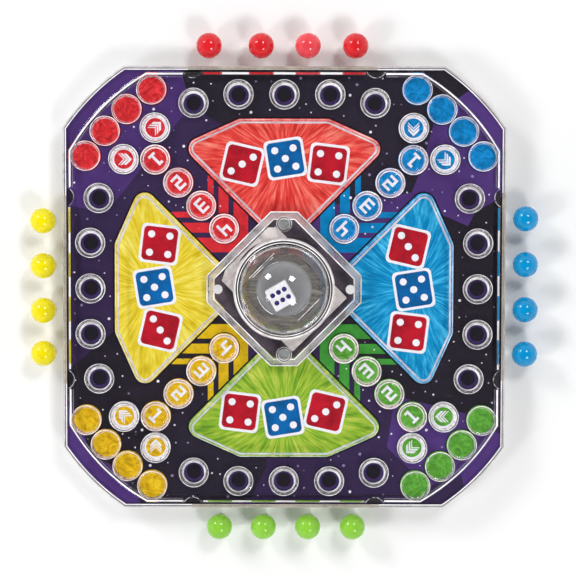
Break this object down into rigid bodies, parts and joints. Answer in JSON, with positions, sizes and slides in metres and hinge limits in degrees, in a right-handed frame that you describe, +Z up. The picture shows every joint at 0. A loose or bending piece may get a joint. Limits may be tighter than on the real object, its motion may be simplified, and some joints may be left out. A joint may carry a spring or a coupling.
{
  "type": "pop up dice board game",
  "caption": "Square board game with cut corners, a clear socketed deck over a printed card, a press-down dome that tosses the die, and loose playing pegs.",
  "frame": {"origin": "on the table, under the middle of the board", "axes": "+Z up; +Y to the red side, -Y to green, -X to yellow, +X to blue"},
  "size_m": [0.3056, 0.3056, 0.0549],
  "materials": {
    "tray_plastic": "fine moulded texture, off-white",
    "printed_card": "full colour print under the clear deck, mostly dark navy and purple",
    "deck_plastic": "clear, polished",
    "housing_plastic": "clear, polished",
    "dome_plastic": "clear, polished",
    "cup_plastic": "dark, fine texture",
    "frame_plastic": "light grey, satin",
    "ring_plastic": "grey, smooth",
    "plate_steel": "satin spring steel",
    "screw_steel": "zinc plated",
    "pin_plastic": "white",
    "die_plastic": "white with dark violet pips",
    "foot_rubber": "black, matt",
    "peg_blue": "glossy",
    "peg_red": "glossy",
    "peg_yellow": "glossy",
    "peg_green": "glossy"
  },
  "bodies": {
    "board": {"base_tray": "tray_plastic", "printed_card": "printed_card", "clear_deck": "deck_plastic", "popper_housing": "housing_plastic", "popper_cup": "cup_plastic", "popper_frame": "frame_plastic", "housing_screws": "screw_steel", "pin_left": "pin_plastic", "pin_right": "pin_plastic", "foot_back_right": "foot_rubber", "foot_back_left": "foot_rubber", "foot_front_left": "foot_rubber", "foot_front_right": "foot_rubber"},
    "dome": {"dome": "dome_plastic", "plate_ring": "ring_plastic", "click_plate": "plate_steel"},
    "die": {"die": "die_plastic"},
    "peg_blue_1": {"peg_blue_1": "peg_blue"},
    "peg_blue_2": {"peg_blue_2": "peg_blue"},
    "peg_blue_3": {"peg_blue_3": "peg_blue"},
    "peg_blue_4": {"peg_blue_4": "peg_blue"},
    "peg_red_1": {"peg_red_1": "peg_red"},
    "peg_red_2": {"peg_red_2": "peg_red"},
    "peg_red_3": {"peg_red_3": "peg_red"},
    "peg_red_4": {"peg_red_4": "peg_red"},
    "peg_yellow_1": {"peg_yellow_1": "peg_yellow"},
    "peg_yellow_2": {"peg_yellow_2": "peg_yellow"},
    "peg_yellow_3": {"peg_yellow_3": "peg_yellow"},
    "peg_yellow_4": {"peg_yellow_4": "peg_yellow"},
    "peg_green_1": {"peg_green_1": "peg_green"},
    "peg_green_2": {"peg_green_2": "peg_green"},
    "peg_green_3": {"peg_green_3": "peg_green"},
    "peg_green_4": {"peg_green_4": "peg_green"}
  },
  "joints": [
    {"name": "dome_press", "type": "slide", "parent": "board", "child": "dome", "axis": [0, 0, -1], "range_m": [0, 0.0035], "stiffness_N_per_m": 1500, "springref_m": -0.002},
    {"name": "die_hop", "type": "slide", "parent": "dome", "child": "die", "axis": [0, 0, 1], "range_m": [0, 0.008]},
    {"name": "peg_blue_1_lift", "type": "slide", "parent": "board", "child": "peg_blue_1", "axis": [0, 0, 1], "range_m": [0, 0.06]},
    {"name": "peg_blue_2_lift", "type": "slide", "parent": "board", "child": "peg_blue_2", "axis": [0, 0, 1], "range_m": [0, 0.06]},
    {"name": "peg_blue_3_lift", "type": "slide", "parent": "board", "child": "peg_blue_3", "axis": [0, 0, 1], "range_m": [0, 0.06]},
    {"name": "peg_blue_4_lift", "type": "slide", "parent": "board", "child": "peg_blue_4", "axis": [0, 0, 1], "range_m": [0, 0.06]},
    {"name": "peg_red_1_lift", "type": "slide", "parent": "board", "child": "peg_red_1", "axis": [0, 0, 1], "range_m": [0, 0.06]},
    {"name": "peg_red_2_lift", "type": "slide", "parent": "board", "child": "peg_red_2", "axis": [0, 0, 1], "range_m": [0, 0.06]},
    {"name": "peg_red_3_lift", "type": "slide", "parent": "board", "child": "peg_red_3", "axis": [0, 0, 1], "range_m": [0, 0.06]},
    {"name": "peg_red_4_lift", "type": "slide", "parent": "board", "child": "peg_red_4", "axis": [0, 0, 1], "range_m": [0, 0.06]},
    {"name": "peg_yellow_1_lift", "type": "slide", "parent": "board", "child": "peg_yellow_1", "axis": [0, 0, 1], "range_m": [0, 0.06]},
    {"name": "peg_yellow_2_lift", "type": "slide", "parent": "board", "child": "peg_yellow_2", "axis": [0, 0, 1], "range_m": [0, 0.06]},
    {"name": "peg_yellow_3_lift", "type": "slide", "parent": "board", "child": "peg_yellow_3", "axis": [0, 0, 1], "range_m": [0, 0.06]},
    {"name": "peg_yellow_4_lift", "type": "slide", "parent": "board", "child": "peg_yellow_4", "axis": [0, 0, 1], "range_m": [0, 0.06]},
    {"name": "peg_green_1_lift", "type": "slide", "parent": "board", "child": "peg_green_1", "axis": [0, 0, 1], "range_m": [0, 0.06]},
    {"name": "peg_green_2_lift", "type": "slide", "parent": "board", "child": "peg_green_2", "axis": [0, 0, 1], "range_m": [0, 0.06]},
    {"name": "peg_green_3_lift", "type": "slide", "parent": "board", "child": "peg_green_3", "axis": [0, 0, 1], "range_m": [0, 0.06]},
    {"name": "peg_green_4_lift", "type": "slide", "parent": "board", "child": "peg_green_4", "axis": [0, 0, 1], "range_m": [0, 0.06]}
  ]
}
